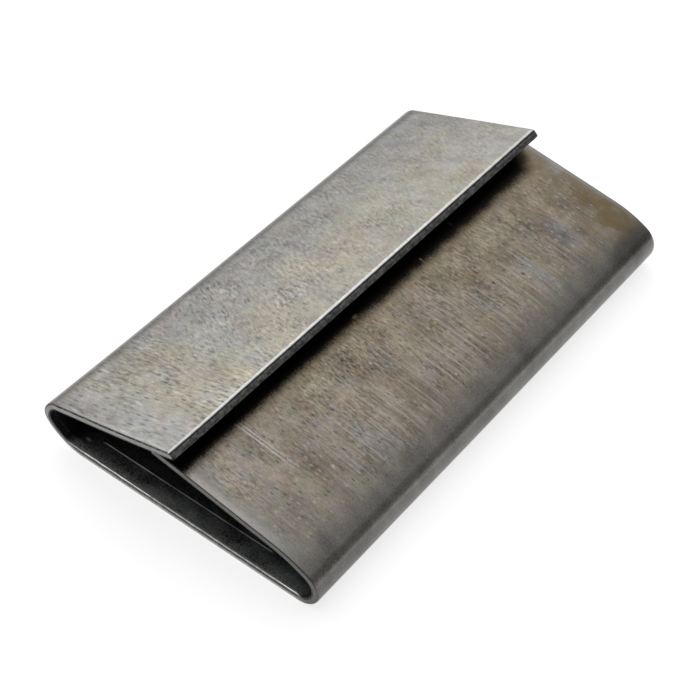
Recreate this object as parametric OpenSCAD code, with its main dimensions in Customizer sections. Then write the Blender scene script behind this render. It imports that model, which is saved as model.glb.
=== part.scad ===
// Steel strapping seal: one strip of sheet, folded twice into a flat open tube.
// X runs across the strap, Y along it, and Z is up from the surface that the seal lies on.
// The cover flap comes from the fold on the left and laps over the under flap from the right.

/* [Strap] */
// Width of the strap that the seal is made for
strap_w = 32; // [19:0.5:40]
// Room between each edge of the strap and the fold beside it
strap_clearance = 0.4; // [0.1:0.05:1]

/* [Sheet] */
// Thickness of the sheet
sheet_t = 0.8; // [0.5:0.05:1.2]
// Length of the seal along the strap
seal_len = 59.5; // [25:0.5:90]
// Radius of the rolled-over outer corner that the shear leaves on each free edge
edge_roll_r = 0.25; // [0.05:0.05:0.4]

/* [Cover fold] */
// Inside radius of the wide lower part of the fold that carries the cover flap
cover_heel_r = 4.1; // [2:0.1:5]
// Turn of that lower part, in degrees
cover_heel_turn = 62.7; // [45:0.1:85]
// Inside radius of the tight upper part of the same fold
cover_crown_r = 1.3; // [0.5:0.1:2]
// Rise of the cover flap towards its free edge, in degrees
cover_rise = 17.5; // [12:0.5:22]
// Reach of the cover flap past the free edge of the under flap
lap = 3.3; // [1:0.1:6]

/* [Under fold] */
// Inside radius of the tight lower part of the fold that carries the under flap
under_heel_r = 1.7; // [0.8:0.1:3]
// Turn of that lower part, in degrees
under_heel_turn = 149.1; // [95:0.1:155]
// Inside radius of the gentle upper part of the same fold
under_crown_r = 12; // [4:0.5:16]
// Rise of the under flap towards the cover flap, in degrees
under_rise = 10.5; // [6:0.5:16]
// Gap between the free edge of the under flap and the underside of the cover flap
lap_gap = 0.1; // [0.05:0.05:0.4]

/* [Hidden] */
$fn = 96;

// Turn of each fold's upper part: what its lower part and the rise of its flap leave of a half turn
cover_crown_turn = 180 - cover_rise - cover_heel_turn;
under_crown_turn = 180 - under_rise - under_heel_turn;

// How far the inner face of a fold reaches out from the end of the flat base
function fold_reach(heel_r, heel_turn, crown_r) =
    heel_turn >= 90 ? heel_r : crown_r + (heel_r - crown_r) * sin(heel_turn);

// Where the outer face of a fold ends, measured from its start on the flat base
function fold_end(heel_r, heel_turn, crown_r, crown_turn) =
    let (heel = heel_r + sheet_t, crown = crown_r + sheet_t, turn = heel_turn + crown_turn)
    [
        heel * sin(heel_turn) + crown * (sin(turn) - sin(heel_turn)),
        heel * (1 - cos(heel_turn)) + crown * (cos(heel_turn) - cos(turn))
    ];

// Flat base, set so that the space between the two folds is centred on the strap
inner_w = strap_w + 2 * strap_clearance;
base_left = fold_reach(cover_heel_r, cover_heel_turn, cover_crown_r) - inner_w / 2;
base_right = inner_w / 2 - fold_reach(under_heel_r, under_heel_turn, under_crown_r);

// Directions along the two flaps, and away from the underside of the cover flap
cover_way = [cos(cover_rise), sin(cover_rise)];
under_way = [-cos(under_rise), sin(under_rise)];
cover_down = [sin(cover_rise), -cos(cover_rise)];

// Start of the cover flap's underside and of the under flap's outer face
cover_fold_end = fold_end(cover_heel_r, cover_heel_turn, cover_crown_r, cover_crown_turn);
under_fold_end = fold_end(under_heel_r, under_heel_turn, under_crown_r, under_crown_turn);
cover_start = [base_left - cover_fold_end.x, cover_fold_end.y] + sheet_t * cover_down;
under_start = [base_right + under_fold_end.x, under_fold_end.y];

// The under flap runs up to the cover flap, and the cover flap runs on past it
under_flap_len = ((under_start - cover_start) * cover_down - lap_gap) / sin(cover_rise + under_rise);
under_tip = under_start + under_flap_len * under_way;
cover_flap_len = (under_tip - cover_start) * cover_way + lap;

// Part of a ring that starts straight below its centre and turns to the right, by less than a half turn
module ring_part(inner_r, turn) {
    outer_r = inner_r + sheet_t;
    past = 2 * outer_r;
    intersection() {
        difference() {
            circle(outer_r);
            circle(inner_r);
        }
        translate([0, -past])
            square([past, 2 * past]);
        rotate(turn)
            translate([-past, -past])
                square([past, 2 * past]);
    }
}

// Upward bend of the sheet, which carries what follows it on its end
module bend(inner_r, turn) {
    outer_r = inner_r + sheet_t;
    translate([0, outer_r]) {
        ring_part(inner_r, turn);
        rotate(turn)
            translate([0, -outer_r])
                children();
    }
}

// Straight flap that ends in a sheared edge with a rolled-over outer corner
module flap(length) {
    difference() {
        square([length, sheet_t]);
        translate([length - edge_roll_r, 0])
            difference() {
                square(edge_roll_r);
                translate([0, edge_roll_r])
                    circle(edge_roll_r);
            }
    }
}

// Section of the folded sheet, with the outer face of the base on the X axis
module section() {
    translate([base_left, 0])
        square([base_right - base_left, sheet_t]);
    translate([base_left, 0])
        mirror([1, 0])
            bend(cover_heel_r, cover_heel_turn)
                bend(cover_crown_r, cover_crown_turn)
                    flap(cover_flap_len);
    translate([base_right, 0])
        bend(under_heel_r, under_heel_turn)
            bend(under_crown_r, under_crown_turn)
                flap(under_flap_len);
}

module seal_body() {
    color("darkgray")
        translate([0, seal_len / 2, 0])
            rotate([90, 0, 0])
                linear_extrude(seal_len)
                    section();
}

seal_body();
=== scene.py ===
import math

import bpy
import numpy as np
from mathutils import Matrix, Vector, noise


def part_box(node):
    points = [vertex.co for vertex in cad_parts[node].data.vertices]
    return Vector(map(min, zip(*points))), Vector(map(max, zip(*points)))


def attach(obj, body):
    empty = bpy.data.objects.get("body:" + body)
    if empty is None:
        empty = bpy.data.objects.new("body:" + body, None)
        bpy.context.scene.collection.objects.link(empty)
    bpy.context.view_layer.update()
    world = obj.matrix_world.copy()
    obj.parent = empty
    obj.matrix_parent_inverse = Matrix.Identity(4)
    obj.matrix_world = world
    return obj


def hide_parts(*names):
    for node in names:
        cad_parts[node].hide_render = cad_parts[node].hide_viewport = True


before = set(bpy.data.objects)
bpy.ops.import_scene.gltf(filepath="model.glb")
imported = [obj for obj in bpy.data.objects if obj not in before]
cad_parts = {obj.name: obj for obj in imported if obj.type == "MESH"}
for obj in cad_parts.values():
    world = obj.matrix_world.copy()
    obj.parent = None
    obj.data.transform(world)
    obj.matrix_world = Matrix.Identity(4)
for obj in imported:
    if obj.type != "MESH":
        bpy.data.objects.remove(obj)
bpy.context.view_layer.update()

# Sizes of the folded sheet in millimetres, as in the part's source
MM = 0.001
low_corner, high_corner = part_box("seal_body")
SEAL_LEN = (high_corner.y - low_corner.y) / MM
SEAL_W = (high_corner.x - low_corner.x) / MM
SHEET_T = 0.8
COVER_HEEL_R = 4.1
COVER_HEEL_TURN = math.radians(62.7)
COVER_CROWN_R = 1.3
COVER_RISE = math.radians(17.5)
LAP = 3.3
UNDER_HEEL_R = 1.7
UNDER_HEEL_TURN = math.radians(149.1)
UNDER_CROWN_R = 12.0
UNDER_RISE = math.radians(10.5)
LAP_GAP = 0.1

# What the shear and the folding leave on the sheet, in millimetres
END_ROLL_SPAN = 0.35
END_ROLL_DEPTH = 0.12
EDGE_ROLL_SPAN = 0.22
EDGE_ROLL_DEPTH = 0.18
INNER_CORNER_R = 0.05
PLAN_CORNER_R = 0.15
BREAK_DEPTH = 0.05
BREAK_REACH = 0.3
BREAK_DEPTH_SHARES = (0.5, 0.9)
TORN_PER_MM = (1.1, 1.1, 5.0)
TORN_SHIFT = 7.0
BURR_RISE = 0.03
BURR_REACH = 0.08
BASE_BURR_RISE = 0.40
BASE_BURR_TORN = 0.4
BASE_BURR_PAST = (2.0, 1.0)
WAVE_DEPTH = 0.03
WAVE_PER_MM = (0.09, 0.06, 0.0)
UNDER_SKEW = 0.15

# How far the ends lie inside the box: the near one slants on the cover flap, the far one on the under flap
NEAR_INSET = 0.5
NEAR_SLANT = 0.42
NEAR_CORNER = 0.15
NEAR_FLAP_INSET = 0.05
NEAR_FLAP_SPAN = 4.0
FAR_UNDER_INSET = 0.11
FAR_FOLD_INSET = 0.08

# Lean of the cover flap's sheared face, and how far its free edge is set back towards the near end
FACE_LEAN = 0.40
FACE_LEAN_FAR = 0.12
FACE_REACH = 0.5
EDGE_BACK = 0.12
EDGE_BACK_FADE = 1.3
CORNER_BACK = 0.15
CORNER_BACK_ALONG = 7.0

# Lift of the fold beside the cover flap at the near end, and its drop at the far end
FOLD_LIFT = 0.2
LIFT_POWER = 1.5
FOLD_DROP = 0.07
LIFT_ALONG = 14.0

# Tool mark raised on the inner face of the base, as distances on the flat sheet
RIDGE_ALONG = 2.38
RIDGE_HALF_W = 0.07
RIDGE_RISE = 0.08
RIDGE_FADE = 0.5
RIDGE_LOWERS = (31.0, 36.0)
RIDGE_LOW_SHARE = 0.5
RIDGE_STEPS = (-0.16, -0.1, -0.06, -0.02, 0.02, 0.06, 0.1, 0.16)

# Spacing of the mesh in millimetres, and in radians round the folds
FLAT_STEP = 0.3
LENGTH_STEP = 0.9
LEAST_STEP = 0.02
FOLD_STEP = math.radians(4)
EDGE_ROWS = (0, 0.03, 0.07, 0.12, 0.18, 0.25, 0.34, 0.46, 0.6, 0.75)
DEPTH_ROWS = (0, 0.03, 0.07, 0.12, 0.19, 0.27, 0.36, 0.45, 0.54, 0.63, 0.7, 0.75, 0.78, 0.8)

# The photograph's camera in the part's frame, in millimetres
CAMERA_PLACE = (70.616, -93.582, 122.799)
CAMERA_RIGHT = (0.78759, 0.61618, 0.00365)
CAMERA_UP = (-0.44855, 0.56924, 0.68903)
CAMERA_BACK = (0.42249, -0.54432, 0.72472)
CAMERA_LENS = 82.846
CAMERA_NEAR = 1.0
SENSOR_W = 36.0


def fold_reach(heel_r, heel_turn, crown_r):
    """How far the inner face of a fold reaches out from the end of the flat base."""
    if heel_turn >= math.pi / 2:
        return heel_r
    return crown_r + (heel_r - crown_r) * math.sin(heel_turn)


def fold_end(heel_r, heel_turn, crown_r, turn):
    """Where the outer face of a fold ends, measured from its start on the flat base."""
    heel, crown = heel_r + SHEET_T, crown_r + SHEET_T
    out = heel * math.sin(heel_turn) + crown * (math.sin(turn) - math.sin(heel_turn))
    up = heel * (1 - math.cos(heel_turn)) + crown * (math.cos(heel_turn) - math.cos(turn))
    return Vector((out, up))


def sheet_route():
    """The base's left end, and the outer face's straights and bends from the cover flap's free edge on."""
    inner_half = SEAL_W / 2 - SHEET_T
    left = fold_reach(COVER_HEEL_R, COVER_HEEL_TURN, COVER_CROWN_R) - inner_half
    right = inner_half - fold_reach(UNDER_HEEL_R, UNDER_HEEL_TURN, UNDER_CROWN_R)
    cover_turn, under_turn = math.pi - COVER_RISE, math.pi - UNDER_RISE
    cover_end = fold_end(COVER_HEEL_R, COVER_HEEL_TURN, COVER_CROWN_R, cover_turn)
    under_end = fold_end(UNDER_HEEL_R, UNDER_HEEL_TURN, UNDER_CROWN_R, under_turn)
    cover_way = Vector((math.cos(COVER_RISE), math.sin(COVER_RISE)))
    cover_down = Vector((math.sin(COVER_RISE), -math.cos(COVER_RISE)))
    under_way = Vector((-math.cos(UNDER_RISE), math.sin(UNDER_RISE)))
    cover_start = Vector((left - cover_end.x, cover_end.y)) + SHEET_T * cover_down
    under_start = Vector((right + under_end.x, under_end.y))
    drop = (under_start - cover_start).dot(cover_down) - LAP_GAP
    under_len = drop / math.sin(COVER_RISE + UNDER_RISE)
    cover_len = (under_start + under_len * under_way - cover_start).dot(cover_way) + LAP
    route = [
        (cover_len, 0.0),
        (cover_turn - COVER_HEEL_TURN, COVER_CROWN_R + SHEET_T),
        (COVER_HEEL_TURN, COVER_HEEL_R + SHEET_T),
        (right - left, 0.0),
        (UNDER_HEEL_TURN, UNDER_HEEL_R + SHEET_T),
        (under_turn - UNDER_HEEL_TURN, UNDER_CROWN_R + SHEET_T),
        (under_len, 0.0),
    ]
    return left, route


BASE_LEFT, ROUTE = sheet_route()
RUNS = [size * radius if radius else size for size, radius in ROUTE]
SHEET_W = sum(RUNS)
COVER_LEN, UNDER_LEN = RUNS[0], RUNS[-1]
BASE_START = sum(RUNS[:3])
BASE_END = BASE_START + RUNS[3]
RIDGE_START = BASE_START + 0.5
RIDGE_END = BASE_END - 4.5

# Humps across the sheet: the centre, and how far each reaches before it and after it
NEAR_CORNER_HUMP = (COVER_LEN + 2.5, 2.5, 4.0)
FAR_FOLD_HUMP = (BASE_END + 3.0, 4.0, 4.0)
SPRUNG_HUMP = (COVER_LEN + 1.0, 11.0, 5.5)


def walk(distance):
    """Outer-face point and heading after a distance along the route, before the route is set in its place."""
    x, z, heading = 0.0, 0.0, math.pi + COVER_RISE
    for (_, radius), run in zip(ROUTE, RUNS):
        step = min(distance, run)
        if radius:
            turned = heading + step / radius
            x += radius * (math.sin(turned) - math.sin(heading))
            z += radius * (math.cos(heading) - math.cos(turned))
            heading = turned
        else:
            x += step * math.cos(heading)
            z += step * math.sin(heading)
        distance -= step
        if distance <= 0:
            break
    return x, z, heading


def route_stations():
    """Distances along the route at which the mesh has a row of points."""
    found = set(EDGE_ROWS) | {SHEET_W - e for e in EDGE_ROWS}
    start = 0.0
    for (size, radius), run in zip(ROUTE, RUNS):
        count = math.ceil(size / FOLD_STEP) if radius else math.ceil(run / FLAT_STEP)
        found |= {start + run * k / count for k in range(count + 1)}
        start += run
    return thinned(found, SHEET_W)


def length_stations():
    """Distances from the near end at which the mesh has a row of points."""
    found = set(EDGE_ROWS) | {SEAL_LEN - e for e in EDGE_ROWS} | {RIDGE_ALONG + e for e in RIDGE_STEPS}
    count = math.ceil(SEAL_LEN / LENGTH_STEP)
    found |= {SEAL_LEN * k / count for k in range(count + 1)}
    return thinned(found, SEAL_LEN)


def thinned(found, end):
    """The distances in order, without those that nearly repeat one before them, and with both ends kept."""
    kept = [0.0]
    for at in sorted(found):
        if at - kept[-1] > LEAST_STEP and end - at > LEAST_STEP:
            kept.append(at)
    return np.array(kept + [end])


def round_corner(a, b, reach_a, reach_b):
    """Draws points near the corner where distances a and b are both 0 on to an elliptic corner."""
    p = np.clip(1 - a / reach_a, 0, 1)
    q = np.clip(1 - b / reach_b, 0, 1)
    a = a + reach_a * p * (1 - np.sqrt(1 - q * q / 2))
    b = b + reach_b * q * (1 - np.sqrt(1 - p * p / 2))
    return a, b


def noise_at(points, scale, shift=0.0):
    """Smooth noise from 0 to 1 at points of the flat sheet, with a scale per millimetre each way."""
    scaled = points * np.array(scale) + shift
    return np.array([0.5 + 0.5 * noise.noise(Vector(p)) for p in scaled])


def worked_places(flat):
    """Across, along and depth on the flat sheet after the shear has rolled, broken and burred its edges."""
    across, along, depth = flat.T.copy()
    side_right, end_far = across > SHEET_W / 2, along > SEAL_LEN / 2
    edge = np.where(side_right, SHEET_W - across, across)
    end = np.where(end_far, SEAL_LEN - along, along)
    torn = noise_at(flat, TORN_PER_MM, TORN_SHIFT)
    below = np.interp(depth / SHEET_T, BREAK_DEPTH_SHARES, (0, 1))
    edge, end = round_corner(edge, end, PLAN_CORNER_R, PLAN_CORNER_R)
    end, depth = round_corner(end, depth, END_ROLL_SPAN, END_ROLL_DEPTH)
    edge, depth = round_corner(edge, depth, EDGE_ROLL_SPAN, EDGE_ROLL_DEPTH)
    inner = SHEET_T - depth
    end, inner = round_corner(end, inner, INNER_CORNER_R, INNER_CORNER_R)
    edge, inner = round_corner(edge, inner, INNER_CORNER_R, INNER_CORNER_R)
    depth = SHEET_T - inner
    end = end + BREAK_DEPTH * below * torn * np.clip(1 - end / BREAK_REACH, 0, 1)
    edge = edge + BREAK_DEPTH * below * torn * np.clip(1 - edge / BREAK_REACH, 0, 1)
    past_left, past_right = BASE_BURR_PAST
    lip = np.clip(across - BASE_START + past_left, 0, 1) * np.clip(BASE_END + past_right - across, 0, 1)
    burr = BURR_RISE * torn + BASE_BURR_RISE * lip * (1 - BASE_BURR_TORN + BASE_BURR_TORN * torn)
    depth = depth + burr * below * np.exp(-((end / BURR_REACH) ** 2))
    across = np.where(side_right, SHEET_W - edge, edge)
    along = np.where(end_far, SEAL_LEN - end, end)
    depth = depth + WAVE_DEPTH * noise_at(flat * (1, 1, 0), WAVE_PER_MM)
    return slanted(across, along, depth + ridge(flat))


def ridge(flat):
    """Rise of the tool mark on the inner face of the base."""
    across, along, depth = flat.T
    reach = np.clip((across - RIDGE_START) / RIDGE_FADE, 0, 1)
    reach = reach * np.clip((RIDGE_END - across) / RIDGE_FADE, 0, 1)
    rise = RIDGE_RISE * np.interp(across, RIDGE_LOWERS, (1.0, RIDGE_LOW_SHARE))
    return rise * reach * (depth == SHEET_T) * np.exp(-(((along - RIDGE_ALONG) / RIDGE_HALF_W) ** 2))


def slanted(across, along, depth):
    """The same places with the ends drawn in, a leaning free edge on the cover and a skewed one under it."""
    far = along / SEAL_LEN
    cover_part = np.clip(1 - across / COVER_LEN, 0, 1)
    fold_part = np.clip((BASE_START - across) / (BASE_START - COVER_LEN), 0, 1)
    under_part = np.clip(1 - (SHEET_W - across) / UNDER_LEN, 0, 1)
    near_in = NEAR_INSET - NEAR_SLANT * cover_part - (NEAR_INSET - NEAR_SLANT) * fold_part
    near_in = near_in - NEAR_CORNER * hump(across, *NEAR_CORNER_HUMP)
    near_in = near_in + NEAR_FLAP_INSET * (fold_part + np.clip((across - BASE_END) / NEAR_FLAP_SPAN, 0, 1))
    far_in = FAR_UNDER_INSET * under_part + FAR_FOLD_INSET * hump(across, *FAR_FOLD_HUMP)
    along = along + near_in * (1 - far) - far_in * far
    back = EDGE_BACK * np.clip(EDGE_BACK_FADE * (1 - far), 0, 1)
    back = back + CORNER_BACK * np.clip(1 - along / CORNER_BACK_ALONG, 0, 1) ** 2
    lean = (FACE_LEAN + FACE_LEAN_FAR * far) * depth / SHEET_T
    moved = (back - lean) * np.clip(1 - across / FACE_REACH, 0, 1)
    return across + moved + UNDER_SKEW * (1 - far) * under_part, along, depth


def hump(across, centre, before, after):
    """Smooth rise to 1 at a centre and back to 0, over one distance before it and another after it."""
    reach = np.where(across < centre, before, after)
    part = np.clip(1 - np.abs(across - centre) / reach, 0, 1)
    return part * part * (3 - 2 * part)


def sprung(across, along):
    """Height by which the fold beside the cover flap has sprung up at the near end and down at the far."""
    near = np.clip(1 - along / LIFT_ALONG, 0, 1)
    far = np.clip(along / SEAL_LEN - 0.5, 0, 0.5) * 2
    return hump(across, *SPRUNG_HUMP) * (FOLD_LIFT * near ** LIFT_POWER - FOLD_DROP * far)


def folded(flat):
    """Places in the part's frame, in metres, of points on the flat sheet."""
    across, along, depth = worked_places(flat)
    base_x, base_z, _ = walk(BASE_START)
    lift = sprung(across, along)
    points = []
    for a, y, d, up in zip(across, along, depth, lift):
        x, z, heading = walk(a)
        x += BASE_LEFT - base_x - d * math.sin(heading)
        z += -base_z + d * math.cos(heading) + up
        points.append((x * MM, (y - SEAL_LEN / 2) * MM, z * MM))
    return points


def side_quads(grid):
    """Quads over a grid of point numbers, which face along row direction times column direction."""
    corners = grid[:-1, :-1], grid[1:, :-1], grid[1:, 1:], grid[:-1, 1:]
    return np.stack([c.ravel() for c in corners], 1)


def block_mesh():
    """Points of the flat sheet, the faces of its six sides, and which points lie on a sheared face."""
    a, y, d = route_stations(), length_stations(), np.array(DEPTH_ROWS)
    shape = len(a), len(y), len(d)
    on_skin = np.zeros(shape, bool)
    for axis in range(3):
        ends = [slice(None)] * 3
        ends[axis] = [0, -1]
        on_skin[tuple(ends)] = True
    number = np.full(shape, -1)
    number[on_skin] = np.arange(on_skin.sum())
    flat = np.stack(np.meshgrid(a, y, d, indexing="ij"), -1)[on_skin]
    sides = [
        side_quads(number[:, :, 0].T),
        side_quads(number[:, :, -1]),
        side_quads(number[:, 0, :]),
        side_quads(number[:, -1, :].T),
        side_quads(number[0, :, :].T),
        side_quads(number[-1, :, :]),
    ]
    sheared = (flat[:, 2] > 0) & (flat[:, 2] < SHEET_T)
    return flat, sides, sheared.astype(float)


def build_sheet():
    """The folded sheet as one closed mesh, with flat places and sheared edges kept for the material."""
    flat, sides, sheared = block_mesh()
    mesh = bpy.data.meshes.new("seal_sheet")
    mesh.from_pydata(folded(flat), [], np.concatenate(sides).tolist())
    place = mesh.attributes.new("sheet_place", "FLOAT_VECTOR", "POINT")
    place.data.foreach_set("vector", flat.ravel())
    cut = mesh.attributes.new("sheared", "FLOAT", "POINT")
    cut.data.foreach_set("value", sheared)
    mesh.shade_smooth()
    mesh.validate()
    sheet = bpy.data.objects.new("seal_sheet", mesh)
    bpy.context.scene.collection.objects.link(sheet)
    return sheet


class Wiring:
    """Adds shader nodes to a tree and hands back their output sockets."""

    def __init__(self, tree):
        self.tree = tree
        tree.nodes.clear()

    def node(self, kind, inputs, output=0, **settings):
        made = self.tree.nodes.new(kind)
        for name, value in settings.items():
            setattr(made, name, value)
        for key, value in inputs.items():
            if isinstance(value, bpy.types.NodeSocket):
                self.tree.links.new(value, made.inputs[key])
            else:
                made.inputs[key].default_value = value
        return made.outputs[output]

    def finish(self, kind, surface):
        self.tree.links.new(surface, self.tree.nodes.new(kind).inputs["Surface"])

    def math(self, operation, a, b=0.0):
        return self.node("ShaderNodeMath", {0: a, 1: b}, operation=operation)

    def times(self, a, b):
        return self.math("MULTIPLY", a, b)

    def plus(self, a, b):
        return self.math("ADD", a, b)

    def ramp(self, value, low, high, out_low=0.0, out_high=1.0):
        inputs = {"Value": value, "From Min": low, "From Max": high, "To Min": out_low, "To Max": out_high}
        return self.node("ShaderNodeMapRange", inputs, interpolation_type="SMOOTHSTEP")

    def noise(self, place, per_mm, shift=0.0, detail=2.0, rough=0.5, lean=0.0, output="Fac"):
        spans = [1 / n for n in per_mm]
        inputs = {"Vector": place, "Location": (shift,) * 3, "Rotation": (0, 0, lean), "Scale": spans}
        moved = self.node("ShaderNodeMapping", inputs, vector_type="TEXTURE")
        inputs = {"Vector": moved, "Scale": 1.0, "Detail": detail, "Roughness": rough}
        return self.node("ShaderNodeTexNoise", inputs, output=output)

    def blot(self, place, centre, reach, ragged):
        inputs = {"Vector": place, "Location": (*centre, 0), "Scale": (*reach, 1000)}
        moved = self.node("ShaderNodeMapping", inputs, vector_type="TEXTURE")
        far = self.node("ShaderNodeVectorMath", {0: moved}, output="Value", operation="LENGTH")
        return self.ramp(self.plus(far, ragged), 1.0, 0.4)

    def mix(self, share, a, b, blend="MIX"):
        inputs = {0: share, 6: a, 7: b}
        return self.node("ShaderNodeMix", inputs, output=2, data_type="RGBA", blend_type=blend)

    def grey(self, value):
        return self.node("ShaderNodeCombineColor", {0: value, 1: value, 2: value})


# Colours of the steel, and colours that paint shade, shadow and highlights on it
COVER_COOL = (0.42, 0.42, 0.41, 1)
COVER_WARM = (0.453, 0.414, 0.324, 1)
COVER_OLIVE = (0.412, 0.412, 0.322, 1)
COVER_ROSE = (0.438, 0.382, 0.355, 1)
UNDER_DRAB = (0.335, 0.298, 0.243, 1)
UNDER_BEIGE = (0.418, 0.361, 0.281, 1)
UNDER_COOL = (0.34, 0.32, 0.308, 1)
UNDER_BROWN = (0.325, 0.262, 0.19, 1)
UNDER_OLIVE = (0.345, 0.335, 0.25, 1)
UNDER_ROSE = (0.39, 0.315, 0.275, 1)
OCHRE = (0.248, 0.183, 0.096, 1)
# Worn rims with painted sheen
RIM_WEAR_AND_SHEEN = (0.40, 0.392, 0.378, 1)
# Painted shade on the folds
FOLD_SHADE_GREY = (0.155, 0.148, 0.14, 1)
FOLD_HIGH = (0.285, 0.272, 0.255, 1)
STREAK_LIGHT = (0.60, 0.58, 0.545, 1)
SCRATCH_LIGHT = (0.76, 0.74, 0.70, 1)
DASH_DARK = (0.13, 0.115, 0.09, 1)
# Painted shadow under the lap
LAP_SHADOW_BLACK = (0.012, 0.011, 0.009, 1)
# Burnished edge wear and painted highlight
BURNISHED_HIGHLIGHT = (0.94, 0.94, 0.92, 1)
BASE_END_GREY = (0.33, 0.327, 0.32, 1)
INSIDE_RUBBED = (0.80, 0.81, 0.79, 1)
INSIDE_GREY = (0.37, 0.392, 0.38, 1)
# Painted shade inside the tube, half and deep
INSIDE_HALF_SHADE = (0.13, 0.14, 0.134, 1)
INSIDE_DEEP_SHADE = (0.04, 0.042, 0.04, 1)
EDGE_DARK = (0.022, 0.021, 0.02, 1)
EDGE_MID = (0.23, 0.228, 0.223, 1)
UNDER_END_GREY = (0.102, 0.101, 0.097, 1)
EDGE_LIGHT = (0.42, 0.415, 0.40, 1)
# Painted highlight on the tool-mark ridge
RIDGE_HIGHLIGHT = (0.66, 0.66, 0.64, 1)
FREE_EDGE_GREY = (0.16, 0.16, 0.157, 1)

# Places in the looks are in millimetres on the flat sheet: across from the cover flap's free edge, along
# from the near end. A range goes from one place or noise level to another, and a third and fourth value say
# how much there is at either end. A band has its two sides and the softness of both.

# Cover flap: leaning grain, cool and warm parts, painted light and shade as slopes of brightness, and short
# dashes
GRAIN_LEAN = math.radians(23)
LEAN_ALONG = (7.0, 20.0)
LEAN_ACROSS = (2.0, 10.0, 0.75, 1.0)
COOL_ACROSS = (7.0, 16.0)
COOL_ALONG = (8.0, 18.0)
COOL_SHARE = 0.22
COOL_FAR_END = (50.0, 58.0, 0.0, 0.08)
COOL_NEAR_END = (5.0, 1.0, 0.0, 0.2)
COVER_WARM_LEVELS = (0.22, 0.72)
COVER_ROSE_LEVELS = (0.54, 0.68, 0.0, 0.5)
COVER_OLIVE_LEVELS = (0.46, 0.32, 0.0, 0.4)
COVER_GRAIN_ALONG = (18.0, 46.0, 2.1, 1.08)
COVER_GRAIN_NEAR = (1.0, 8.0, 0.55, 1.15)
QUIET_ACROSS = (6.0, 12.0)
QUIET_ALONG = (11.0, 18.0)
QUIET_LOSS = -0.28
COVER_SLOPE_ACROSS = (4.0, 16.0, 0.02, -0.14)
COVER_SLOPE_ENDS = (2.6, 0.6, 0.0, -0.05)
COVER_SLOPE_ALONG = (8.0, 30.0, 0.01, -0.02)
COVER_RIM_ALONG = (0.6, 0.25, 0.0, 0.26)
COVER_RIM_ACROSS = (16.0, 6.0, 0.4, 1.0)
COVER_SPECKLE = 0.7
COVER_MOTTLE = 0.65
COVER_TINT = 0.08
COVER_DASH_SCATTER = 30.0
COVER_DARK_DASHES = (34.0, 14.0, 0.0, 0.22)
COVER_LIGHT_DASHES = (20.0, 48.0, 0.18, 0.34)
COVER_DARK_SHARE = 0.55
COVER_LIGHT_SHARE = 0.4
COVER_FOLD_SHADE_ACROSS = (16.0, 17.2, 0.0, 0.6)

# Lines that a forming tool drew up the under flap: the fine ones, and the place and end of each strong one
DRAWN_START = 61.8
DRAWN_FADE_IN = (61.4, 62.1)
DRAWN_FADE_OUT = (70.0, 68.5)
DRAWN_END_SCATTER = 7.0
DRAWN_NEAR_END = (2.0, 18.0, -0.2, 0.0)
DRAWN_FAR_END = (55.0, 52.5)
DRAWN_STRETCHES = ((14.5, 21.0, 0.8), (24.0, 27.0, 0.8))
DRAWN_STRETCH_GAIN = 0.22
DRAWN_DENSITY = (0.26, 0.5)
DRAWN_BROKEN = (0.35, 0.55, 0.4, 1.0)
FINE_LIGHT_LEVELS = (0.52, 0.64, 0.0, 0.6)
FINE_DARK_LEVELS = (0.45, 0.33)
LINES_WORN_OFF = (44.0, 52.0, 1.0, 0.7)
LIGHT_LINE_SHARE = 0.8
DARK_LINE_SHARE = 0.45
MAIN_LINES_FROM = 14.0
MAIN_LINES_SPAN = 32.0
MAIN_LINES_REACH = 10.0
MAIN_LINE_W = 0.25
MAIN_LINE_SHARE = 0.6
MAIN_LINE_FADE = (0.0, 0.8)
MAIN_LINE_BROKEN = (0.32, 0.55, 0.45, 1.0)
MAIN_LINES = (
    (14.5, 69.0), (16.8, 66.5), (18.5, 70.0), (19.8, 69.6), (20.5, 69.5), (24.4, 71.5), (26.8, 70.0),
    (28.7, 69.0), (30.4, 66.0), (31.6, 69.4), (34.3, 71.0), (36.8, 69.0), (38.0, 69.0), (42.5, 69.0),
    (44.6, 69.5),
)

# Under flap: colours, grain, and painted light and shade as slopes of brightness
UNDER_BEIGE_ACROSS = (62.5, 72.0)
UNDER_COOL_NEAR = (16.0, 9.0, 0.0, 0.35)
UNDER_COOL_LEVELS = (0.53, 0.66, 0.0, 0.7)
UNDER_OCHRE_LEVELS = (0.46, 0.32, 0.0, 0.28)
UNDER_OLIVE_LEVELS = (0.53, 0.68, 0.0, 0.65)
UNDER_ROSE_LEVELS = (0.47, 0.32, 0.0, 0.5)
UNDER_BROWN_LEVELS = (0.54, 0.70, 0.0, 0.6)
UNDER_BROWN_ALONG = (13.0, 24.0, 0.0, 0.3)
UNDER_BROWN_FAR = (48.0, 57.0, 0.0, 0.45)
UNDER_GRAIN_ALONG = (36.0, 57.0, 1.8, 0.95)
UNDER_GRAIN_ACROSS = (71.0, 66.5, 1.0, 0.72)
UNDER_SMOOTH_ACROSS = (65.0, 70.0)
UNDER_SMOOTH_ALONG = (2.0, 20.0, 0.55, 1.0)
UNDER_LIFT_NEAR = (16.0, 10.0, 0.0, 0.08)
UNDER_DROP_NEAR = (30.0, 18.0, 0.0, -0.02)
UNDER_DROP_FAR = (46.0, 54.0, 0.0, -0.06)
UNDER_SPECKLE = 1.0
UNDER_MOTTLE = 1.05
UNDER_STREAKS = 0.5
UNDER_TINT = 0.035
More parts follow.
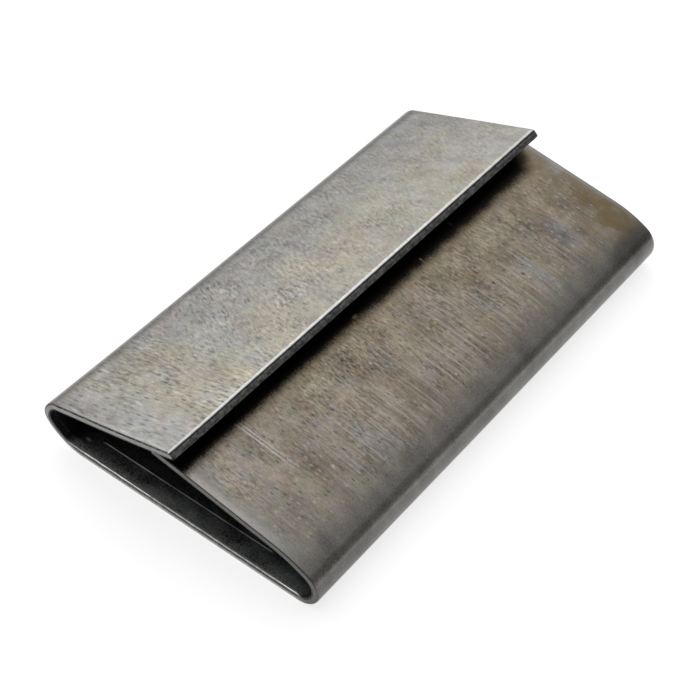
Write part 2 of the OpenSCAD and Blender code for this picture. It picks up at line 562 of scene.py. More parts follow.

# Under flap: patches, dashes, pits, light spots, scratches, and rims of wear with painted sheen and highlight
# lines
GREY_PATCHES = (((65.0, 44.3), (3.6, 1.5)), ((65.2, 51.3), (3.6, 1.7)), ((64.5, 15.2), (3.0, 1.4)))
GREY_PATCH_RAGGED = 1.6
GREY_PATCH_SHARE = 0.8
UNDER_DARK_DASHES = (26.0, 50.0, 0.13, 0.05)
UNDER_DARK_NEAR = (2.0, 11.0, 0.4, 1.0)
UNDER_LIGHT_DASHES = (26.0, 50.0, 0.17, 0.22)
UNDER_DARK_SHARE = 0.7
UNDER_LIGHT_SHARE = 0.55
PITS = (((67.4, 39.9), (0.3, 0.22)), ((65.9, 43.2), (0.3, 0.2)))
PIT_SHARE = 0.9
LIGHT_SPOTS = (((63.3, 27.5), (0.2, 0.16)), ((70.2, 22.4), (0.3, 0.14)), ((65.4, 10.4), (0.26, 0.2)))
SCRATCHES = ((9.20, 9.33, 0.08), (9.58, 9.70, 0.08))
SCRATCH_LEAN = 0.023
SCRATCH_ACROSS = (66.0, 71.5)
SCRATCH_BROKEN = (0.30, 0.55, 0.3, 1.0)
UNDER_RIM_ENDS = (2.2, 0.6)
UNDER_RIM_BROKEN = (0.35, 0.6, 0.3, 0.9)
FAR_HIGHLIGHT_ALONG = (SEAL_LEN - 0.8, SEAL_LEN - 0.25, 0.0, 0.55)
FAR_HIGHLIGHT_ACROSS = (60.0, 66.0, 0.3, 1.0)
NEAR_HIGHLIGHT_ALONG = (1.1, 0.2, 0.0, 0.42)
NEAR_HIGHLIGHT_ACROSS = (61.0, 69.0)

# Painted shadow under the lap, a painted brown fringe at its edge, and the flecks in it
LAP_DRIFT = (4.0, 48.0, 0.0, 0.6)
LAP_MOTTLE = 0.9
LAP_SPECKLE = 1.7
LAP_SHADOW_FRINGE_ACROSS = (SHEET_W - 5.6, SHEET_W - 4.4)
LAP_SHADOW_FRINGE_ALONG = (3.0, 7.0, 0.2, 0.4)
LAP_SHADOW_ACROSS = (SHEET_W - 4.9, SHEET_W - 3.6)
LAP_SHADOW_ALONG = (SEAL_LEN - 1.6, SEAL_LEN - 4.2)
LAP_FLECKS = (((75.5, 43.2), (0.5, 0.22)), ((74.9, 25.9), (0.3, 0.5)), ((74.7, 36.9), (0.28, 0.22)))
LAP_FLECK_RAGGED = 2.0
LAP_FLECK_SHARE = 0.55

# Fold beside the under flap: painted shade where it turns down and at its far end, the stain there, and a
# painted highlight along its far rim
FOLD_HIGH_ACROSS = (58.2, 58.9)
FOLD_TURNED_SHADE_ACROSS = (57.4, 56.6, 0.0, -0.35)
FOLD_FLAP_ACROSS = (59.6, 63.6)
FOLD_SPECKLE = 1.5
FOLD_MOTTLE = 0.8
FOLD_END_SHADE_BLOT = (59.8, 57.5), (2.0, 8.0)
DARK_FOLD_SHADE = -0.36
STAINS = (((62.8, 57.8), (4.4, 4.6), 0.78), ((66.8, 59.0), (5.8, 3.8), 0.58))
STAIN_RAGGED = 1.4
STAIN_ACROSS = (59.6, 62.0)
STAIN_BROKEN = (0.35, 0.6, 0.75, 1.1)
FOLD_RIM_ALONG = (SEAL_LEN - 0.75, SEAL_LEN - 0.25, 0.0, 0.7)
FOLD_RIM_ACROSS = (60.0, 63.5, 0.2, 1.0)

# Inner face, mostly by the distance from the nearer end: painted shade that deepens away from the ends and in
# the heels
BASE_BAND = (BASE_START - 2.0, BASE_END + 0.3, 0.6)
INSIDE_DEPTH = (0.70, 0.78)
INSIDE_HALF_SHADE_ENDS = (0.6, 3.0)
INSIDE_DEEP_SHADE_ENDS = (2.4, 8.0)
INSIDE_SPECKLE = 3.2
INSIDE_MOTTLE = 2.0
COVER_HEEL_SHADE_ACROSS = (23.6, 26.0, 0.15, 1.0)
UNDER_HEEL_SHADE_ACROSS = (55.0, 51.0, 0.5, 1.0)
RUBBED_ENDS = (1.2, 0.5)
RUBBED_ACROSS = (40.0, 33.0, 0.15, 1.0)
RUBBED_BROKEN = (0.42, 0.62, 0.25, 1.0)
INSIDE_RIM_ENDS = (0.4, 0.2, 0.0, 0.8)
TORN_LINE_ENDS = (0.65, 0.8, 0.12)
TORN_LINE_BROKEN = (0.45, 0.6, 0.0, 0.55)
RIDGE_SHINE_ALONG = (RIDGE_ALONG - 0.11, RIDGE_ALONG + 0.01, 0.04)
RIDGE_SHINE_ACROSS = (RIDGE_START + 0.3, RIDGE_END - 0.3, 0.3)
RIDGE_SHINE_BROKEN = (0.35, 0.6, 0.45, 1.0)
INSIDE_NICK = (25.2, 1.6), (0.55, 0.2)
INSIDE_NICK_RAGGED = 1.5

# Sheared faces, by the depth below the outer face
AT_END = (0.3, 0.1)
PAST_BASE = (BASE_END - 0.5, BASE_END + 1.5)
EDGE_UNEVEN = 0.16
EDGE_TORN = 1.0
EDGE_SPECKLE = 1.8
FREE_EDGE_TORN = 2.4
FREE_EDGE_STRIPE = (0.24, 0.42, 0.06)
FREE_EDGE_STRIPE_GAIN = 0.35
OUTER_LINE_DEPTH = (0.25, 0.15)
OUTER_LINE_UNEVEN = 0.2
OUTER_LINE_BROKEN = (0.40, 0.56, 0.25, 1.0)
OUTER_LINE_LOSS = -0.9
INNER_LINE_DEPTH = (0.56, 0.68)
INNER_LINE_HEEL = (COVER_LEN + 2.6, BASE_START - 2.2, 0.7)
INNER_LINE_HEEL_GAIN = 0.16
INNER_LINE_UNDER_GAIN = 0.04
SPLIT_DEPTH = (0.42, 0.60, 0.05)
SPLIT_BROKEN = (0.32, 0.46, 0.6, 1.0)
BURR_DEPTH = (0.64, 0.71)
BURR_SHARE = 0.85
LIT_BURRS = ((26.0, 35.0, 0.6), (51.0, 53.6, 0.6))
LIT_BURR_BROKEN = (0.34, 0.5, 0.3, 1.0)
LIT_BURR_WHOLE = (47.0, 49.0)

# Worn line with a painted highlight along the cover flap's free edge
WORN_SHINE_WAVE = 0.3
WORN_SHINE_ACROSS = (0.40, 0.22)
WORN_SHINE_DEPTH = (0.08, 0.03)
WORN_SHINE_BROKEN = (0.60, 0.40, 0.8, 1.0)
WORN_SHINE_ALONG = (SEAL_LEN, 0.6 * SEAL_LEN, 0.55, 1.0)

# Noise levels and share of the whole sheet's grain and dashes, and its roughness and fine relief
BUSY_LEVELS = (0.38, 0.62, 0.65, 1.4)
DASH_CORE = 0.3
ROUGH_LEVELS = (0.3, 0.7, 0.27, 0.36)
ROUGH_GAIN = 0.25
FREE_EDGE_ENDS = (0.3, 0.9)
RELIEF_SPECKS = 0.4
RELIEF_STRENGTH = 0.5
RELIEF_HEIGHT = 0.00001


class SteelShader(Wiring):
    """Wiring for the steel, with the place on the flat sheet and the shared noises at hand."""

    def __init__(self, tree):
        super().__init__(tree)
        self.place = self.node("ShaderNodeAttribute", {}, output="Vector", attribute_name="sheet_place")
        self.sheared = self.node("ShaderNodeAttribute", {}, output="Fac", attribute_name="sheared")
        parts = self.tree.nodes.new("ShaderNodeSeparateXYZ")
        self.tree.links.new(self.place, parts.inputs[0])
        self.across, self.along, self.depth = parts.outputs
        self.patch = self.noise(self.place, (0.20, 0.26, 0.5), 11.0, detail=3.0, rough=0.6)
        self.hue = self.noise(self.place, (0.45, 0.55, 0.5), 17.0, detail=1.0, rough=0.6)
        self.cast = self.noise(self.place, (0.35, 0.55, 0.5), 61.0, detail=1.0)
        self.mottle = self.noise(self.place, (0.34, 0.48, 0.5), 19.0, detail=1.0, rough=0.6)
        self.tint = self.noise(self.place, (1.7, 2.3, 1.7), 47.0, detail=2.0, output="Color")
        self.specks = self.noise(self.place, (4.0, 6.0, 4.0), 23.0, detail=3.0, rough=0.7)
        self.density = self.noise(self.place, (0.10, 0.12, 0.5), 37.0, detail=1.0)
        busy = self.noise(self.place, (0.26, 0.34, 0.5), 41.0, detail=2.0)
        self.busy = self.ramp(busy, *BUSY_LEVELS)
        self.from_end = self.math("MINIMUM", self.along, self.math("SUBTRACT", SEAL_LEN, self.along))

    def rest(self, share):
        return self.math("SUBTRACT", 1.0, share)

    def band(self, value, low, high, soft):
        risen = self.ramp(value, low - soft, low + soft)
        return self.times(risen, self.ramp(value, high + soft, high - soft))

    def area(self, across, along):
        return self.times(self.ramp(self.across, *across), self.ramp(self.along, *along))

    def shaded(self, tone, *shifts):
        shade = 1.0
        for shift in shifts:
            shade = self.plus(shade, shift)
        return self.mix(1.0, tone, self.grey(shade), "MULTIPLY")

    def tinted(self, tone, amount):
        inputs = {0: self.tint, 1: (amount,) * 3, 2: (1 - amount / 2,) * 3}
        shift = self.node("ShaderNodeVectorMath", inputs, operation="MULTIPLY_ADD")
        return self.mix(1.0, tone, shift, "MULTIPLY")

    def spread(self, value, amount):
        return self.times(self.plus(value, -0.5), amount)

    def speckled(self, specks, mottle):
        return self.spread(self.specks, specks), self.spread(self.mottle, mottle)

    def blend(self, share, a, b):
        return self.plus(self.times(a, self.rest(share)), self.times(b, share))

    def on_base(self):
        return self.band(self.across, *BASE_BAND)

    def dashes(self, per_mm, reach, share, shift, lean=0.0):
        """Short marks, one in each of a share of the cells of a grid without order."""
        spans = (1 / per_mm[0], 1 / per_mm[1], 1)
        inputs = {"Vector": self.place, "Location": (shift,) * 3, "Rotation": (0, 0, lean), "Scale": spans}
        moved = self.node("ShaderNodeMapping", inputs, vector_type="TEXTURE")
        inputs = {"Vector": moved, "Scale": 1.0, "Randomness": 1.0}
        far = self.node("ShaderNodeTexVoronoi", inputs, output="Distance", voronoi_dimensions="2D")
        dice = self.node("ShaderNodeSeparateColor", {0: far.node.outputs["Color"]})
        return self.times(self.ramp(far, reach, DASH_CORE * reach), self.math("LESS_THAN", dice, share))

    def cover_tone(self):
        """Mottled grey and beige with a grain that leans away from the near end, and short dashes."""
        straight = self.noise(self.place, (0.8, 3.2, 3.0), 29.0, detail=3.0, rough=0.65)
        leaning = self.noise(self.place, (1.1, 2.9, 3.0), 31.0, detail=3.0, rough=0.65, lean=GRAIN_LEAN)
        lean_share = self.area(LEAN_ACROSS, LEAN_ALONG)
        grain = self.blend(lean_share, straight, leaning)
        tone = self.shaded(self.cover_colour(), *self.cover_shades(grain))
        return self.cover_dashes(self.tinted(tone, COVER_TINT), lean_share), grain

    def cover_colour(self):
        """Cool grey to warm beige, with some rose and olive."""
        cool = self.times(self.area(COOL_ACROSS, COOL_ALONG), COOL_SHARE)
        cool = self.plus(cool, self.ramp(self.along, *COOL_FAR_END))
        cool = self.plus(cool, self.ramp(self.along, *COOL_NEAR_END))
        warm = self.ramp(self.math("SUBTRACT", self.patch, cool), *COVER_WARM_LEVELS)
        tone = self.mix(warm, COVER_COOL, COVER_WARM)
        tone = self.mix(self.ramp(self.hue, *COVER_ROSE_LEVELS), tone, COVER_ROSE)
        return self.mix(self.ramp(self.hue, *COVER_OLIVE_LEVELS), tone, COVER_OLIVE)

    def cover_shades(self, grain):
        """Changes of brightness from the grain, specks and mottle, and painted light and shade as slopes
        towards edges and ends.
        """
        strength = self.times(self.busy, self.ramp(self.along, *COVER_GRAIN_ALONG))
        strength = self.times(strength, self.ramp(self.along, *COVER_GRAIN_NEAR))
        quiet = self.times(self.area(QUIET_ACROSS, QUIET_ALONG), QUIET_LOSS)
        strength = self.times(strength, self.plus(1.0, quiet))
        # Painted light and shade: slopes towards the edges and ends, and a lighter near rim
        painted_slope = self.ramp(self.across, *COVER_SLOPE_ACROSS)
        painted_slope = self.plus(painted_slope, self.ramp(self.from_end, *COVER_SLOPE_ENDS))
        painted_slope = self.plus(painted_slope, self.ramp(self.along, *COVER_SLOPE_ALONG))
        painted_slope = self.plus(painted_slope, self.area(COVER_RIM_ACROSS, COVER_RIM_ALONG))
        return self.spread(grain, strength), *self.speckled(COVER_SPECKLE, COVER_MOTTLE), painted_slope

    def cover_dashes(self, tone, lean_share):
        """Short dark dashes towards the near end, and light ones towards the far end."""
        scattered = self.plus(self.along, self.spread(self.density, COVER_DASH_SCATTER))
        share = self.ramp(scattered, *COVER_DARK_DASHES)
        straight = self.dashes((0.75, 2.3), reach=0.40, share=share, shift=3.0)
        leaning = self.dashes((0.75, 2.3), reach=0.36, share=share, shift=5.0, lean=GRAIN_LEAN)
        dark = self.times(self.blend(lean_share, straight, leaning), COVER_DARK_SHARE)
        share = self.ramp(self.along, *COVER_LIGHT_DASHES)
        light = self.dashes((0.8, 2.6), reach=0.36, share=share, shift=7.0, lean=GRAIN_LEAN)
        tone = self.mix(dark, tone, DASH_DARK)
        return self.mix(self.times(light, COVER_LIGHT_SHARE), tone, STREAK_LIGHT)

    def drawn_lines(self):
        """Light and dark hairlines that a forming tool drew from the fold up the under flap."""
        lines = self.noise(self.place, (0.13, 3.1, 1.0), 53.0, detail=3.0, rough=0.65)
        ends = self.noise(self.place, (0.02, 1.4, 0.02), 59.0, detail=1.0)
        past = self.plus(self.across, self.spread(ends, DRAWN_END_SCATTER))
        zone = self.times(self.ramp(self.across, *DRAWN_FADE_IN), self.ramp(past, *DRAWN_FADE_OUT))
        drawn = self.plus(self.density, self.ramp(self.along, *DRAWN_NEAR_END))
        for stretch in DRAWN_STRETCHES:
            drawn = self.plus(drawn, self.times(self.band(self.along, *stretch), DRAWN_STRETCH_GAIN))
        zone = self.times(zone, self.ramp(drawn, *DRAWN_DENSITY))
        broken = self.ramp(self.specks, *DRAWN_BROKEN)
        zone = self.times(zone, self.times(self.ramp(self.along, *DRAWN_FAR_END), broken))
        light = self.times(self.ramp(lines, *FINE_LIGHT_LEVELS), zone)
        light = self.math("MAXIMUM", light, self.times(self.main_lines(), MAIN_LINE_SHARE))
        return light, self.times(self.ramp(lines, *FINE_DARK_LEVELS), zone)

    def main_lines(self):
        """Strongest of the light hairlines, each up to its own end on the under flap."""
        node = self.tree.nodes.new("ShaderNodeValToRGB")
        stops = node.color_ramp
        stops.interpolation = "CONSTANT"
        stops.elements[-1].color = (0, 0, 0, 1)
        for along, end in MAIN_LINES:
            share = (end - DRAWN_START) / MAIN_LINES_REACH
            start = (along - MAIN_LINE_W / 2 - MAIN_LINES_FROM) / MAIN_LINES_SPAN
            stops.elements.new(start).color = (share, share, share, 1)
            stops.elements.new(start + MAIN_LINE_W / MAIN_LINES_SPAN).color = (0, 0, 0, 1)
        place = self.times(self.plus(self.along, -MAIN_LINES_FROM), 1 / MAIN_LINES_SPAN)
        self.tree.links.new(place, node.inputs[0])
        end = self.plus(self.times(node.outputs[0], MAIN_LINES_REACH), DRAWN_START)
        line = self.ramp(self.math("SUBTRACT", end, self.across), *MAIN_LINE_FADE)
        line = self.times(line, self.ramp(self.across, *DRAWN_FADE_IN))
        return self.times(line, self.ramp(self.specks, *MAIN_LINE_BROKEN))

    def under_tone(self):
        """Drab brown to beige, speckled, with drawn lines, small marks, worn rims with painted sheen and
        highlights, and a painted shadow in the lap.
        """
        grain = self.noise(self.place, (1.35, 3.6, 3.0), 67.0, detail=2.0, rough=0.6)
        tone = self.shaded(self.under_colour(), *self.under_shades(grain))
        tone = self.under_marks(self.tinted(tone, UNDER_TINT))
        return self.paint_lap_shadow(self.under_rims(tone)), grain

    def under_colour(self):
        """Drab beside the fold and beige beside the lap, with brown, grey, olive and rose parts."""
        tone = self.mix(self.ramp(self.across, *UNDER_BEIGE_ACROSS), UNDER_DRAB, UNDER_BEIGE)
        tone = self.mix(self.ramp(self.along, *UNDER_COOL_NEAR), tone, UNDER_COOL)
        tone = self.mix(self.ramp(self.hue, *UNDER_COOL_LEVELS), tone, UNDER_COOL)
        tone = self.mix(self.ramp(self.hue, *UNDER_OCHRE_LEVELS), tone, OCHRE)
        tone = self.mix(self.ramp(self.cast, *UNDER_OLIVE_LEVELS), tone, UNDER_OLIVE)
        tone = self.mix(self.ramp(self.cast, *UNDER_ROSE_LEVELS), tone, UNDER_ROSE)
        tone = self.mix(self.ramp(self.patch, *UNDER_BROWN_LEVELS), tone, UNDER_BROWN)
        tone = self.mix(self.ramp(self.along, *UNDER_BROWN_ALONG), tone, UNDER_BROWN)
        tone = self.mix(self.ramp(self.along, *UNDER_BROWN_FAR), tone, UNDER_BROWN)
        ragged = self.spread(self.patch, GREY_PATCH_RAGGED)
        for patch in GREY_PATCHES:
            share = self.times(self.blot(self.place, *patch, ragged), GREY_PATCH_SHARE)
            tone = self.mix(share, tone, UNDER_COOL)
        return tone

    def under_shades(self, grain):
        """Changes of brightness from the grain, specks, mottle and streaks, and painted light and shade as a
        slope along the flap.
        """
        streaks = self.noise(self.place, (0.16, 4.2, 1.0), 73.0, detail=2.0, rough=0.6)
        near_smooth = self.ramp(self.along, *UNDER_SMOOTH_ALONG)
        smooth = self.blend(self.ramp(self.across, *UNDER_SMOOTH_ACROSS), near_smooth, 1.0)
        smooth = self.times(smooth, self.ramp(self.across, *UNDER_GRAIN_ACROSS))
        strength = self.times(self.times(self.busy, self.ramp(self.along, *UNDER_GRAIN_ALONG)), smooth)
        # Painted light and shade along the flap
        painted_slope = self.plus(self.ramp(self.along, *UNDER_LIFT_NEAR), self.ramp(self.along, *UNDER_DROP_NEAR))
        painted_slope = self.plus(painted_slope, self.ramp(self.along, *UNDER_DROP_FAR))
        speckled = self.speckled(UNDER_SPECKLE, UNDER_MOTTLE)
        return self.spread(grain, strength), *speckled, self.spread(streaks, UNDER_STREAKS), painted_slope

    def under_marks(self, tone):
        """Drawn lines, dashes, scratches, pits and light spots on the under flap."""
        light, dark = self.drawn_lines()
        worn_off = self.ramp(self.along, *LINES_WORN_OFF)
        tone = self.mix(self.times(light, self.times(worn_off, LIGHT_LINE_SHARE)), tone, STREAK_LIGHT)
        tone = self.mix(self.times(dark, self.times(worn_off, DARK_LINE_SHARE)), tone, DASH_DARK)
        share = self.times(self.ramp(self.along, *UNDER_DARK_DASHES), self.ramp(self.along, *UNDER_DARK_NEAR))
        dark = self.dashes((1.1, 3.2), reach=0.38, share=share, shift=13.0)
        tone = self.mix(self.times(dark, UNDER_DARK_SHARE), tone, DASH_DARK)
        share = self.ramp(self.along, *UNDER_LIGHT_DASHES)
        light = self.dashes((1.1, 2.8), reach=0.36, share=share, shift=15.0)
        tone = self.mix(self.times(light, UNDER_LIGHT_SHARE), tone, STREAK_LIGHT)
        tone = self.mix(self.scratches(), tone, SCRATCH_LIGHT)
        for pit in PITS:
            tone = self.mix(self.times(self.blot(self.place, *pit, 0.0), PIT_SHARE), tone, DASH_DARK)
        for spot in LIGHT_SPOTS:
            tone = self.mix(self.blot(self.place, *spot, 0.0), tone, STREAK_LIGHT)
        return tone

    def scratches(self):
        """Pair of light scratches that comes out from under the lap and fades down the under flap."""
        wander = self.plus(self.along, self.times(self.across, SCRATCH_LEAN))
        pair = 0.0
        for scratch in SCRATCHES:
            pair = self.plus(pair, self.band(wander, *scratch))
        broken = self.ramp(self.specks, *SCRATCH_BROKEN)
        return self.times(self.times(pair, broken), self.ramp(self.across, *SCRATCH_ACROSS))

    def under_rims(self, tone):
        """Grey rims at both ends of the under flap, partly wear and partly painted sheen, each with a painted
        highlight line at the very end.
        """
        rim = self.times(self.ramp(self.from_end, *UNDER_RIM_ENDS), self.ramp(self.specks, *UNDER_RIM_BROKEN))
        tone = self.mix(rim, tone, RIM_WEAR_AND_SHEEN)
        near, far = self.area(NEAR_HIGHLIGHT_ACROSS, NEAR_HIGHLIGHT_ALONG), self.area(FAR_HIGHLIGHT_ACROSS, FAR_HIGHLIGHT_ALONG)
        # Painted highlight lines at the near and far ends
        return self.shaded(tone, near, far)

    def paint_lap_shadow(self, tone):
        """Painted black shadow under the lap, with a painted brown fringe at its edge and a few light flecks
        that lift it.
        """
        lapped = self.plus(self.across, self.ramp(self.along, *LAP_DRIFT))
        lapped = self.plus(lapped, self.plus(*self.speckled(LAP_SPECKLE, LAP_MOTTLE)))
        # Painted brown fringe along the painted shadow's edge
        fringe = self.times(self.ramp(lapped, *LAP_SHADOW_FRINGE_ACROSS), self.ramp(self.along, *LAP_SHADOW_FRINGE_ALONG))
        tone = self.mix(fringe, tone, OCHRE)
        # Painted shadow that the cover flap's overhang casts on the under flap
        painted_shadow = self.times(self.ramp(lapped, *LAP_SHADOW_ACROSS), self.ramp(self.along, *LAP_SHADOW_ALONG))
        for fleck in LAP_FLECKS:
            shown = self.blot(self.place, *fleck, self.spread(self.specks, LAP_FLECK_RAGGED))
            painted_shadow = self.times(painted_shadow, self.rest(self.times(shown, LAP_FLECK_SHARE)))
        return self.mix(painted_shadow, tone, LAP_SHADOW_BLACK)

    def fold_tone(self, tone):
        """Greys the fold beside the under flap, with painted shade where it turns down and at its far end,
        stains its far end, and paints a highlight along its far rim.
        """
        # Painted shade on the lower part of the fold and where it turns down
        low = self.mix(self.ramp(self.across, *FOLD_HIGH_ACROSS), FOLD_SHADE_GREY, FOLD_HIGH)
        turned = self.ramp(self.across, *FOLD_TURNED_SHADE_ACROSS)
        low = self.shaded(low, *self.speckled(FOLD_SPECKLE, FOLD_MOTTLE), turned)
        tone = self.mix(self.ramp(self.across, *FOLD_FLAP_ACROSS), low, tone)
        # Painted shade at the fold's far end
        tone = self.shaded(tone, self.times(self.blot(self.place, *FOLD_END_SHADE_BLOT, 0.0), DARK_FOLD_SHADE))
        ragged = self.spread(self.hue, STAIN_RAGGED)
        for centre, reach, share in STAINS:
            stain = self.blot(self.place, centre, reach, ragged)
            stain = self.times(stain, self.ramp(self.across, *STAIN_ACROSS))
            stain = self.times(stain, self.ramp(self.specks, *STAIN_BROKEN))
            tone = self.mix(self.times(stain, share), tone, OCHRE)
        # Painted sheen along the fold's far rim
        return self.mix(self.area(FOLD_RIM_ACROSS, FOLD_RIM_ALONG), tone, RIM_WEAR_AND_SHEEN)

    def inside_tone(self, tone):
        """Dull inner face with painted shade that deepens away from the ends and in the heels, with light
        marks near the rims and a painted highlight on the ridge.
        """
        # Painted shade that deepens away from the open ends
        face = self.mix(self.ramp(self.from_end, *INSIDE_HALF_SHADE_ENDS), INSIDE_GREY, INSIDE_HALF_SHADE)
        face = self.mix(self.ramp(self.from_end, *INSIDE_DEEP_SHADE_ENDS), face, INSIDE_DEEP_SHADE)
        face = self.shaded(face, *self.speckled(INSIDE_SPECKLE, INSIDE_MOTTLE))
        # Painted shade in the inner heels of the folds
        heel_shade = self.ramp(self.across, *COVER_HEEL_SHADE_ACROSS)
        heel_shade = self.times(heel_shade, self.ramp(self.across, *UNDER_HEEL_SHADE_ACROSS))
        face = self.inside_marks(self.mix(1.0, face, self.grey(heel_shade), "MULTIPLY"))
        share = self.times(self.ramp(self.depth, *INSIDE_DEPTH), self.rest(self.sheared))
        return self.mix(share, tone, face), share

    def inside_marks(self, face):
        """Rubbed base, painted highlights along the rims, a torn line beside them, a painted highlight on the
        ridge, and a nick.
        """
        rubbed = self.times(self.ramp(self.from_end, *RUBBED_ENDS), self.on_base())
        rubbed = self.times(rubbed, self.ramp(self.across, *RUBBED_ACROSS))
        face = self.mix(self.times(rubbed, self.ramp(self.specks, *RUBBED_BROKEN)), face, INSIDE_RUBBED)
        # Painted highlight along the base's inner rims
        rim = self.times(self.ramp(self.from_end, *INSIDE_RIM_ENDS), self.on_base())
        face = self.mix(rim, face, BURNISHED_HIGHLIGHT)
        torn = self.band(self.from_end, *TORN_LINE_ENDS)
        face = self.mix(self.times(torn, self.ramp(self.specks, *TORN_LINE_BROKEN)), face, EDGE_LIGHT)
        # Painted highlight on the tool-mark ridge
        highlight = self.band(self.along, *RIDGE_SHINE_ALONG)
        highlight = self.times(highlight, self.band(self.across, *RIDGE_SHINE_ACROSS))
        face = self.mix(self.times(highlight, self.ramp(self.mottle, *RIDGE_SHINE_BROKEN)), face, RIDGE_HIGHLIGHT)
        nick = self.blot(self.place, *INSIDE_NICK, self.spread(self.specks, INSIDE_NICK_RAGGED))
        return self.mix(nick, face, INSIDE_RUBBED)

    def edge_tone(self, tone):
        """Sheared faces, torn and speckled, and the worn line with a painted highlight along the cover flap's
        free edge.
        """
        torn = self.noise(self.place, (1.6, 1.6, 3.0), 71.0, detail=3.0, rough=0.65)
        at_end = self.ramp(self.from_end, *AT_END)
        uneven = self.plus(self.depth, self.spread(torn, EDGE_UNEVEN))
        face = self.edge_lines(self.edge_greys(torn, uneven, at_end), torn, uneven, at_end)
        face = self.edge_burr(face, at_end)
        face = self.shaded(face, self.spread(torn, EDGE_TORN), self.spread(self.specks, EDGE_SPECKLE))
        tone = self.mix(self.sheared, tone, face)
        # Worn line with a painted highlight along the free edge
        wavy = self.plus(self.across, self.spread(torn, WORN_SHINE_WAVE))
        highlight = self.times(self.ramp(wavy, *WORN_SHINE_ACROSS), self.ramp(self.depth, *WORN_SHINE_DEPTH))
        highlight = self.times(highlight, self.ramp(torn, *WORN_SHINE_BROKEN))
        highlight = self.times(highlight, self.ramp(self.along, *WORN_SHINE_ALONG))
        return self.mix(highlight, tone, BURNISHED_HIGHLIGHT)

    def past_base(self):
        return self.ramp(self.across, *PAST_BASE)

    def edge_greys(self, torn, uneven, at_end):
        """Greys of the free edges and of the ends, which differ on the cover, the base and the under flap."""
        stripe = self.times(self.band(uneven, *FREE_EDGE_STRIPE), FREE_EDGE_STRIPE_GAIN)
        free = self.shaded(FREE_EDGE_GREY, self.spread(torn, FREE_EDGE_TORN), stripe)
        ends = self.mix(self.on_base(), EDGE_MID, BASE_END_GREY)
        return self.mix(at_end, free, self.mix(self.past_base(), ends, UNDER_END_GREY))

    def edge_lines(self, face, torn, uneven, at_end):
        """Dark lines: along the outer and the inner side of the edges, and a split in the base's ends."""
        on_base, past_base = self.on_base(), self.past_base()
        ragged = self.plus(self.depth, self.spread(torn, OUTER_LINE_UNEVEN))
        outer = self.times(self.ramp(ragged, *OUTER_LINE_DEPTH), self.rest(on_base))
        kept = self.plus(1.0, self.times(past_base, OUTER_LINE_LOSS))
        kept = self.times(kept, self.ramp(torn, *OUTER_LINE_BROKEN))
        face = self.mix(self.times(outer, kept), face, EDGE_DARK)
        heel = self.band(self.across, *INNER_LINE_HEEL)
        wider = self.times(heel, INNER_LINE_HEEL_GAIN)
        wider = self.plus(wider, self.times(past_base, INNER_LINE_UNDER_GAIN))
        inner = self.ramp(self.plus(uneven, wider), *INNER_LINE_DEPTH)
        inner = self.times(self.times(inner, at_end), self.rest(on_base))
        face = self.mix(inner, face, EDGE_DARK)
        split = self.times(self.times(self.band(uneven, *SPLIT_DEPTH), at_end), on_base)
        return self.mix(self.times(split, self.ramp(torn, *SPLIT_BROKEN)), face, EDGE_DARK)

    def edge_burr(self, face, at_end):
        """Light burr along the inner side of the base's ends, with painted highlights on bright stretches."""
        bright = self.noise(self.place, (0.9, 0.9, 0.9), 83.0, detail=2.0)
        burr = self.times(self.times(self.ramp(self.depth, *BURR_DEPTH), at_end), self.on_base())
        face = self.mix(self.times(burr, BURR_SHARE), face, EDGE_LIGHT)
        # Painted highlights on bright stretches of the burr
        lit = 0.0
        for stretch in LIT_BURRS:
            lit = self.plus(lit, self.band(self.across, *stretch))
        whole = self.ramp(self.across, *LIT_BURR_WHOLE)
        broken = self.math("MAXIMUM", self.ramp(bright, *LIT_BURR_BROKEN), whole)
        return self.mix(self.times(self.times(burr, lit), broken), face, BURNISHED_HIGHLIGHT)


def steel_material():
    """Bare rolled steel: grain, dashes, drawn lines, stains, sheared edges and a dull inner face, with
    painted shade, shadow and highlights.
    """
    material = bpy.data.materials.new("rolled_steel")
    material.use_nodes = True
    w = SteelShader(material.node_tree)
    cover, cover_grain = w.cover_tone()
    under, under_grain = w.under_tone()
    right_half = w.ramp(w.across, BASE_START, BASE_END)
    # Painted shade along the fold beside the cover flap
    cover = w.mix(w.ramp(w.across, *COVER_FOLD_SHADE_ACROSS), cover, FOLD_SHADE_GREY)
    tone = w.mix(right_half, cover, w.fold_tone(under))
    tone, inside = w.inside_tone(tone)
    tone = w.edge_tone(tone)
    grain = w.blend(right_half, cover_grain, under_grain)
    free_edge = w.times(w.sheared, w.ramp(w.from_end, *FREE_EDGE_ENDS))
    rough = w.plus(w.ramp(w.specks, *ROUGH_LEVELS), w.times(w.plus(inside, free_edge), ROUGH_GAIN))
    height = w.plus(grain, w.times(w.specks, RELIEF_SPECKS))
    inputs = {"Height": height, "Strength": RELIEF_STRENGTH, "Distance": RELIEF_HEIGHT}
    bump = w.node("ShaderNodeBump", inputs)
    inputs = {"Base Color": tone, "Metallic": 1.0, "Roughness": rough, "Normal": bump}
    surface = w.node("ShaderNodeBsdfPrincipled", inputs)
    w.finish("ShaderNodeOutputMaterial", surface)
    return material


# Studio in metres: a wide softbox behind on the left, a room that is lighter overhead, and a pale floor
FLOOR_HALF = 3.0
FLOOR_DROP = 0.00002
FLOOR_GLOW = 0.72
FLOOR_MATTE = (0.8, 0.8, 0.8, 1)
WHITE = (1, 1, 1, 1)
ROOM_LEVEL = 0.18
ROOM_TOP_LEVEL = 0.64
ROOM_TOP_WAY = (-0.35, 0.30, 0.887)
ROOM_RISE = (0.25, 1.0)
KEY_WAY = (-0.682, 0.533, 0.50)
KEY_SIZE = (0.62, 0.44)
KEY_DISTANCE = 0.6
KEY_RADIANCE = 0.50


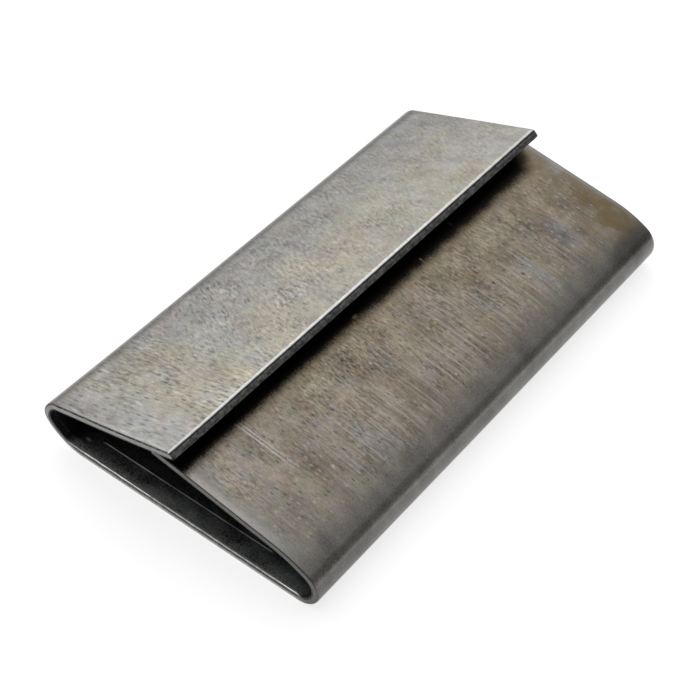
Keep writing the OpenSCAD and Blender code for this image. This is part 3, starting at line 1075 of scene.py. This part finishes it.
def floor_material():
    """White floor that keeps shadows, and shows white to the eye and to polished metal."""
    material = bpy.data.materials.new("pale_floor")
    material.use_nodes = True
    w = Wiring(material.node_tree)
    path = w.tree.nodes.new("ShaderNodeLightPath")
    seen = w.math("MAXIMUM", path.outputs["Is Camera Ray"], path.outputs["Is Glossy Ray"])
    seen = w.math("MAXIMUM", seen, path.outputs["Is Transmission Ray"])
    glow = w.node("ShaderNodeEmission", {"Color": WHITE, "Strength": w.times(seen, FLOOR_GLOW)})
    matte = w.node("ShaderNodeBsdfDiffuse", {"Color": FLOOR_MATTE})
    both = w.node("ShaderNodeAddShader", {0: glow, 1: matte})
    w.finish("ShaderNodeOutputMaterial", both)
    return material


def build_floor():
    """Plain floor under the seal."""
    h, z = FLOOR_HALF, -FLOOR_DROP
    mesh = bpy.data.meshes.new("floor")
    mesh.from_pydata([(-h, -h, z), (h, -h, z), (h, h, z), (-h, h, z)], [], [(0, 1, 2, 3)])
    mesh.materials.append(floor_material())
    floor = bpy.data.objects.new("floor", mesh)
    bpy.context.scene.collection.objects.link(floor)


def build_world():
    """Room that grows lighter towards a bright ceiling."""
    world = bpy.data.worlds.new("studio")
    world.use_nodes = True
    w = Wiring(world.node_tree)
    way = w.node("ShaderNodeTexCoord", {}, output="Generated")
    rise = w.node("ShaderNodeVectorMath", {0: way, 1: ROOM_TOP_WAY}, output="Value", operation="DOT_PRODUCT")
    level = w.ramp(rise, *ROOM_RISE, ROOM_LEVEL, ROOM_TOP_LEVEL)
    back = w.node("ShaderNodeBackground", {"Color": WHITE, "Strength": level})
    w.finish("ShaderNodeOutputWorld", back)
    bpy.context.scene.world = world


def add_softbox(name, way, distance, size, radiance):
    """Area light that faces the seal from a direction."""
    data = bpy.data.lights.new(name, "AREA")
    data.shape = "RECTANGLE"
    data.size, data.size_y = size
    data.energy = radiance * size[0] * size[1] * math.pi
    light = bpy.data.objects.new(name, data)
    place = Vector(way).normalized() * distance
    light.matrix_world = Matrix.Translation(place) @ place.to_track_quat("Z", "Y").to_matrix().to_4x4()
    bpy.context.scene.collection.objects.link(light)


def add_camera():
    """Camera at the photograph's angle."""
    data = bpy.data.cameras.new("camera")
    data.sensor_fit = "HORIZONTAL"
    data.sensor_width = SENSOR_W
    data.lens = CAMERA_LENS
    data.clip_start = CAMERA_NEAR * MM
    camera = bpy.data.objects.new("camera", data)
    turn = Matrix((CAMERA_RIGHT, CAMERA_UP, CAMERA_BACK)).transposed().to_4x4()
    camera.matrix_world = Matrix.Translation(Vector(CAMERA_PLACE) * MM) @ turn
    bpy.context.scene.collection.objects.link(camera)
    bpy.context.scene.camera = camera


add_camera()
build_floor()
build_world()
add_softbox("key", KEY_WAY, KEY_DISTANCE, KEY_SIZE, KEY_RADIANCE)

sheet = build_sheet()
sheet.data.materials.append(steel_material())
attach(sheet, "root")
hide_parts("seal_body")

bpy.context.scene.view_settings.view_transform = "Standard"
